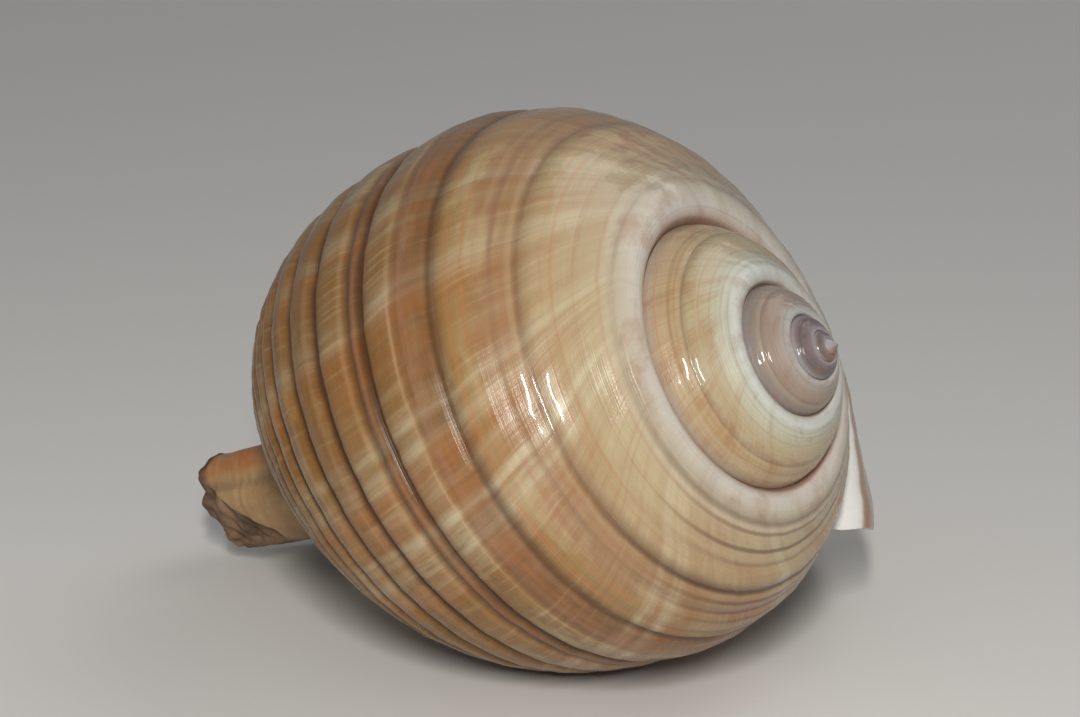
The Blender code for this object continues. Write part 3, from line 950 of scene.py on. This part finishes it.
# How strongly the light streaks show along the section line, as (t, amount): pinkish bands show few.
STREAKS_SHOW = [(0, 0.3), (8, 0.5), (20, 0.8), (26, 0.7), (29, 0.5), (34, 0.8), (41, 1.0), (43.5, 0.3)]
STREAKS_SHOW += [(49.5, 0.35), (51, 1.0), (57, 0.9), (59, 0.3), (61, 0.3), (63.5, 0.7), (69, 0.55)]
STREAKS_SHOW += [(72, 0.35), (76, 0.45), (147, 0.35)]
STREAKS_FROM = -150.0
STREAKS_TO = 30.0


def along_t(stops, end):
    """Stops of a ramp from (t, colour), for t from 0 to end."""
    return [(t / end, tone(*colour)) for t, colour in stops]


def greys(stops, low, high):
    """Stops of a ramp from (place, amount), for places from low to high."""
    return [((place - low) / (high - low), (amount, amount, amount, 1.0)) for place, amount in stops]


def whorl_ground(paint, turns, t):
    """Ground colour by place and turn: a ramp along t for each age of whorl, blending into the next."""
    ground = paint.ramp(paint.maths("DIVIDE", t, T_PAINTED), along_t(LAST_WHORL, T_PAINTED))
    small = paint.maths("DIVIDE", t, SUTURE_AT)
    for stops, low, high in OLDER_WHORLS:
        ground = paint.mix(paint.span(turns, low, high), ground, paint.ramp(small, along_t(stops, SUTURE_AT)))
    return paint.mix(paint.span(turns, *TIP_TURNS, 0.0, 0.8), ground, tone(*TIP))


def growth_streaks(paint, ground, turns, t, line, degrees, age, threads):
    """Broad warm and pale shades, then the named streaks, then fine threads of both.

    Ribs differ in how much of this they show, and the ramp beside the suture shows little.
    """
    by_rib = paint.span(paint.grain("by_rib", turns, t), 0.35, 0.62, 0.45, 1.0)
    by_rib = paint.times(by_rib, paint.span(t, 4.0, 24.0, 0.3, 1.0))
    shown = paint.ramp(paint.maths("DIVIDE", t, T_PAINTED), greys(STREAKS_SHOW, 0.0, T_PAINTED))
    shown = paint.times(shown, age)

    patches = paint.grain("patches", line, t)
    ground = paint.mix(paint.span(patches, 0.52, 0.7, 0.0, 0.45), ground, tone(*WARM_PATCH))
    pale = paint.times(paint.span(patches, 0.48, 0.3, 0.0, 0.55), shown)
    ground = paint.mix(pale, ground, tone(*PALE_PATCH))
    broad = paint.span(paint.grain("broad", line, t), 0.48, 0.7, 0.0, 0.65)
    ground = paint.mix(paint.times(broad, by_rib, age), ground, tone(*BROAD_WARM))
    pale = paint.span(paint.grain("pale", line, t), 0.52, 0.78, 0.0, 0.55)
    ground = paint.mix(paint.times(pale, by_rib, shown), ground, tone(*BROAD_PALE))

    at = paint.span(degrees, STREAKS_FROM, STREAKS_TO, smooth=False)
    broken = paint.span(paint.grain("broken", line, t), 0.3, 0.6, 0.3, 1.0)
    broken = paint.times(broken, paint.span(by_rib, 0.2, 0.8, 0.45, 1.0))
    cream = paint.ramp(at, greys(CREAM_STREAKS, STREAKS_FROM, STREAKS_TO), "EASE")
    orange = paint.ramp(at, greys(ORANGE_STREAKS, STREAKS_FROM, STREAKS_TO), "EASE")
    orange = paint.times(orange, broken, paint.span(t, 20.0, 38.0, 0.1, 0.75))
    ground = paint.mix(orange, ground, tone(*ORANGE_STREAK))
    ground = paint.mix(paint.times(cream, broken, shown, 0.75), ground, tone(*CREAM_STREAK))

    light = paint.times(paint.span(threads, 0.5, 0.78, 0.0, 0.45), by_rib, shown)
    ground = paint.mix(light, ground, tone(*LIGHT_THREAD))
    dark = paint.times(paint.span(threads, 0.5, 0.25, 0.0, 0.34), by_rib, age)
    return paint.mix(dark, ground, tone(*DARK_THREAD))


def spiral_lines(paint, ground, turns, t, line_t, degrees, age):
    """Thin stripes, worn through in places, then brown grooves, each with a shade before it, which is partly
    painted shade; some pale stripes are partly painted light.
    """
    worn = paint.times(paint.span(paint.grain("worn", turns, t), 0.35, 0.6, 0.1, 0.9), age)
    for stripe, half, amount, colour in STRIPES:
        share = paint.span(paint.off(line_t, stripe), 0.2 * half, 1.3 * half, amount, 0.0)
        ground = paint.mix(paint.times(share, worn), ground, tone(*colour))

    # The shoulder's grooves are brownest where the last whorl begins, and it has lines of its own there.
    begins = paint.span(degrees, -50.0, -115.0, 0.3, 1.0)
    brown = 0.0
    for groove, _, depth in GROOVES:
        core = paint.span(paint.off(line_t, groove), *GROOVE_CORE, GROOVE_BROWN * depth, 0.0)
        # Shade before the groove: partly the rib's own brown, partly painted shade of the slope down into it.
        shade = paint.span(line_t, groove - SHADE_FROM, groove - SHADE_TO, 0.0, SHADE_BROWN * depth)
        shade = paint.times(shade, paint.maths("LESS_THAN", line_t, groove))
        here = paint.maths("MAXIMUM", core, shade)
        if groove < SUTURE_AT:
            here = paint.times(here, begins)
        brown = paint.maths("MAXIMUM", brown, here)
    first = paint.times(paint.span(degrees, -78.0, -135.0), paint.span(turns, -0.62, -0.55))
    for place, depth in SHOULDER_LINES:
        here = paint.times(paint.span(paint.off(line_t, place), 0.15, 0.8, depth, 0.0), first)
        brown = paint.maths("MAXIMUM", brown, here)
    brown = paint.times(brown, paint.span(turns, -0.8, -0.62, 0.3, 1.0))
    return paint.mix(brown, ground, tone(*BROWN))


def lip_side(paint, ground, turns, t, line, line_t, degrees):
    """Towards the lip: worn flecks on the shoulder, then a white ramp with brown shoulder beside it."""
    flecks = paint.span(paint.grain("flecks", line, t), 0.46, 0.68, 0.0, 0.65)
    flecks = paint.times(flecks, paint.span(degrees, 8.0, 26.0))
    flecks = paint.times(flecks, paint.span(t, 6.0, 10.0), paint.span(t, 34.0, 24.0))
    ground = paint.mix(flecks, ground, tone(*FLECK))
    new = paint.span(turns, 0.2, 0.3)
    ground = paint.mix(new, ground, paint.mix(paint.span(line_t, 4.9, 6.0), tone(*LIP_WHITE), ground))
    shoulder = paint.times(new, paint.span(line_t, 5.2, 6.2, 0.0, 0.7), paint.span(line_t, 20.0, 12.0))
    return paint.mix(shoulder, ground, tone(*LIP_BROWN))


def ribbed_finish():
    """Outside of the whorls: tan with brown grooves, cream and orange growth streaks, glossy."""
    paint = Finish("glossy_ribbed_shell")
    turns, t = paint.growth_map()
    line = paint.plus(turns, paint.times(paint.minus(paint.grain("wander", turns, t), 0.5), STREAKS_WANDER))
    line_t = paint.plus(t, paint.times(paint.minus(paint.grain("shiver", turns, t), 0.5), LINES_WANDER))
    degrees = paint.times(line, 360.0)
    age = paint.span(turns, -2.2, -0.7, 0.15, 1.0)
    threads = paint.grain("threads", line, t)
    fine = paint.grain("fine", turns, t)

    ground = whorl_ground(paint, turns, t)
    ground = growth_streaks(paint, ground, turns, t, line, degrees, age, threads)
    ground = spiral_lines(paint, ground, turns, t, line_t, degrees, age)
    ground = paint.mix(paint.span(fine, 0.55, 0.8, 0.0, 0.25), ground, tone(*FINE_LINE))
    ground = lip_side(paint, ground, turns, t, line, line_t, degrees)

    rough = paint.span(paint.noise(paint.position(), 60.0, 4.0), 0.3, 0.7, 0.2, 0.34)
    ridges = paint.plus(paint.times(fine, 0.5), paint.times(threads, 0.35))
    ridges = paint.plus(ridges, paint.times(paint.grain("scored", turns, t), 0.45))
    paint.set(Base_Color=ground, Roughness=rough, Normal=paint.bump(ridges, 0.00035))
    paint.set(Specular_IOR_Level=0.32, Coat_Weight=0.4, Coat_Roughness=0.07)
    return paint.material


def lining_finish():
    """Inside: white and glossy like porcelain, with faint cream clouds along the growth lines."""
    paint = Finish("glossy_white_lining")
    cloud = paint.span(paint.grain("lining", *paint.growth_map()), 0.3, 0.7)
    paint.set(Base_Color=paint.mix(cloud, tone(*LINING_WHITE), tone(*LINING_CREAM)))
    paint.set(Roughness=0.24, Coat_Weight=0.3, Coat_Roughness=0.08)
    return paint.material


def neck_finish():
    """Neck: beige and smooth, with an orange-brown ridge on top, a dark fold and a rough grey-brown end."""
    paint = Finish("beige_neck")
    turns, t = paint.growth_map()
    degrees = paint.times(turns, 360.0)
    place = paint.position()
    cloud = paint.noise(place, 150.0, 5.0, 0.6)
    grain = paint.noise(place, 900.0, 4.0, 0.6)
    colour = paint.mix(paint.span(cloud, 0.35, 0.65), tone(*NECK_BEIGE), tone(*NECK_TAN))

    rings = paint.node("CombineXYZ", paint.times(turns, 2.0), paint.times(t, 1.6), 0.0).outputs[0]
    rings = paint.span(paint.noise(rings, 1.0, 4.0), 0.5, 0.75, 0.0, 0.35)
    colour = paint.mix(rings, colour, tone(*NECK_RING))
    ridge = paint.span(paint.off(degrees, NECK_RIDGE_LOOK), 12.0, 30.0, 0.85, 0.0)
    ridge = paint.times(ridge, paint.span(cloud, 0.3, 0.6, 0.5, 1.0))
    colour = paint.mix(ridge, colour, tone(*NECK_RIDGE))
    fold = paint.span(paint.off(degrees, NECK_FOLD_LOOK), 2.0, 12.0, 0.5, 0.0)
    fold = paint.times(fold, paint.span(t, 128.0, 135.0, 0.35, 1.0))
    colour = paint.mix(fold, colour, tone(*NECK_FOLD))

    # The rough end starts at the same slanting edge as the broken part of the shape.
    edge = NECK_EDGE_FROM + NECK_LEAN
    slant = paint.span(degrees, edge, edge - NECK_EDGE_OVER, 0.0, NECK_EDGE_OVER, smooth=False)
    near_end = paint.plus(paint.plus(t, paint.times(slant, NECK_EDGE_SLANT)), paint.times(cloud, 3.0))
    rough_end = paint.span(near_end, NECK_EDGE_AT + 1.0, NECK_EDGE_AT + 3.2, 0.0, 0.85)
    end_colour = paint.mix(paint.span(cloud, 0.4, 0.62), tone(*END_BROWN), tone(*END_DARK))
    height = paint.plus(cloud, paint.times(grain, rough_end, 1.2))
    rough = paint.plus(0.34, paint.times(rough_end, 0.35))
    paint.set(Base_Color=paint.mix(rough_end, colour, end_colour), Roughness=rough)
    paint.set(Normal=paint.bump(height, 0.0006))
    return paint.material


def floor_and_light():
    """A flat pale floor, a small main light to the front right, soft fills and a dim sky."""
    bpy.ops.mesh.primitive_plane_add(size=FLOOR_SIZE, location=(0.0, 0.0, 0.0))
    floor = bpy.context.object
    floor.name = "pale_floor"
    matt = Finish("pale_floor")
    matt.set(Base_Color=tone(*FLOOR_COLOUR), Roughness=0.85)
    floor.data.materials.append(matt.material)
    world = bpy.data.worlds.new("studio")
    world.use_nodes = True
    world.node_tree.nodes["Background"].inputs[0].default_value = SKY_COLOUR
    world.node_tree.nodes["Background"].inputs[1].default_value = SKY_STRENGTH
    bpy.context.scene.world = world
    for name, place, size, power, colour in LIGHTS:
        data = bpy.data.lights.new(name, "AREA")
        data.shape = "RECTANGLE"
        data.size, data.size_y = size
        data.energy = power
        data.color = colour
        light = bpy.data.objects.new(name, data)
        bpy.context.collection.objects.link(light)
        aim(light, place, LIGHTS_LOOK_AT)


def aim(thing, place, target):
    """Stands a light or camera at place, looking at target, upright."""
    back = np.array(place, dtype=float) - np.array(target, dtype=float)
    back /= np.linalg.norm(back)
    right = np.cross((0.0, 0.0, 1.0), back)
    right /= np.linalg.norm(right)
    matrix = np.eye(4)
    matrix[:3, :3] = np.stack([right, np.cross(back, right), back], 1)
    matrix[:3, 3] = place
    thing.matrix_world = Matrix(matrix.tolist())


def photographer():
    """The camera, level, at the photograph's angle."""
    data = bpy.data.cameras.new("view")
    data.lens = CAMERA_LENS
    data.sensor_width = CAMERA_SENSOR
    camera = bpy.data.objects.new("view", data)
    bpy.context.collection.objects.link(camera)
    aim(camera, CAMERA_AT, np.array(CAMERA_AT) + np.array(CAMERA_LOOKS))
    bpy.context.scene.camera = camera
    bpy.context.scene.view_settings.view_transform = "Standard"


def main():
    ribbed, lining, beige = ribbed_finish(), lining_finish(), neck_finish()
    pieces = [whorls([ribbed, lining, lining]), neck([beige])]
    cutter = canal([lining])
    for piece in pieces:
        cut(piece, cutter)
    bpy.data.objects.remove(cutter, do_unlink=True)
    for piece in pieces:
        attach(piece, "root")
        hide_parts("shell")
    floor_and_light()
    photographer()


main()
